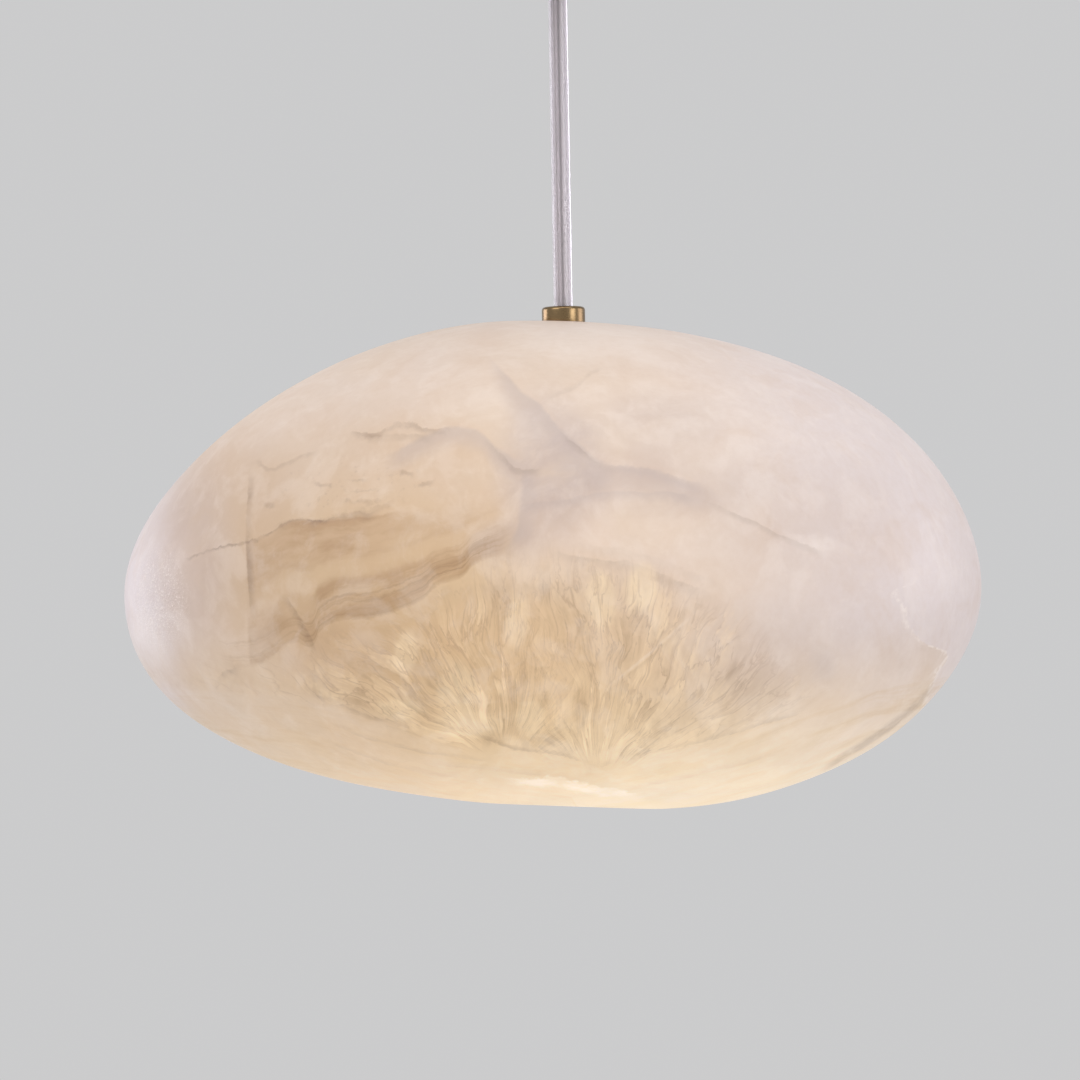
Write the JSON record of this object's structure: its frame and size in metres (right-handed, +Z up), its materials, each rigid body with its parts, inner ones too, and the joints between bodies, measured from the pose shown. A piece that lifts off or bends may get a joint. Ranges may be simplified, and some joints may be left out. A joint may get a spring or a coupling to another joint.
{
  "type": "alabaster pendant light",
  "caption": "Hollow alabaster pebble shade hung on a clear cord from a ceiling canopy, with a brass collar, a lampholder inside and a bulb that pulls out through the mouth below.",
  "frame": {"origin": "middle of the ceiling plane, at the bracket's top face on the cord's axis", "axes": "+Z up, +X along the shade's long side to the right of the pictured view, -Y to the front"},
  "size_m": [0.299, 0.246, 0.322],
  "materials": {
    "alabaster": "satin",
    "antique_brass": "satin",
    "raw_brass": "satin",
    "steel": "satin",
    "clear_sheath": "gloss",
    "core_insulation": "satin",
    "black_rubber": "matte",
    "white_cover": "satin",
    "white_ceramic": "satin",
    "white_plastic": "satin",
    "frosted_glass": "satin",
    "led_board": "matte"
  },
  "bodies": {
    "ceiling_fitting": {"ceiling_bracket": "steel", "earth_screw": "steel", "canopy_cup": "antique_brass", "canopy_screws": "antique_brass", "gland_body": "antique_brass", "gland_washer": "steel", "gland_nut": "raw_brass", "upper_cord_stop": "steel", "cord_tail": "clear_sheath", "tail_wire": "steel", "upper_leads": "core_insulation", "terminal_block": "white_plastic", "terminal_sleeves": "raw_brass", "terminal_screws": "steel", "block_screw": "steel"},
    "bend": {"cord_bend": "clear_sheath"},
    "cord": {"cord_sheath": "clear_sheath", "cord_cores": "core_insulation", "cord_wire": "steel", "lower_cord_stop": "steel"},
    "shade": {"collar": "antique_brass", "collar_gasket": "black_rubber", "threaded_tube": "raw_brass", "stone_shade": "alabaster", "inner_gasket": "black_rubber", "spreader_plate": "steel", "spring_washer": "steel", "upper_nut": "raw_brass", "holder_cover": "white_cover", "holder_strap": "steel", "lower_nut": "raw_brass", "lampholder": "white_ceramic", "holder_contacts": "steel", "holder_screws": "steel", "lower_leads": "core_insulation"},
    "bulb": {"bulb_base": "white_plastic", "bulb_capsule": "frosted_glass", "bulb_pins": "steel", "led_board": "led_board"}
  },
  "joints": [
    {"name": "swing_side", "type": "hinge", "parent": "ceiling_fitting", "child": "bend", "pos_m": [0, 0, -0.0324], "axis": [0, 1, 0], "range_deg": [-20, 20]},
    {"name": "swing_front", "type": "hinge", "parent": "bend", "child": "cord", "pos_m": [0, 0, -0.0324], "axis": [1, 0, 0], "range_deg": [-20, 20]},
    {"name": "shade_turn", "type": "hinge", "parent": "cord", "child": "shade", "pos_m": [0, 0, -0.1474], "axis": [0, 0, 1], "range_deg": [-90, 90], "stiffness_Nm_per_rad": 0.02},
    {"name": "bulb_pull", "type": "slide", "parent": "shade", "child": "bulb", "axis": [0, 0, -1], "range_m": [0, 0.12]}
  ]
}
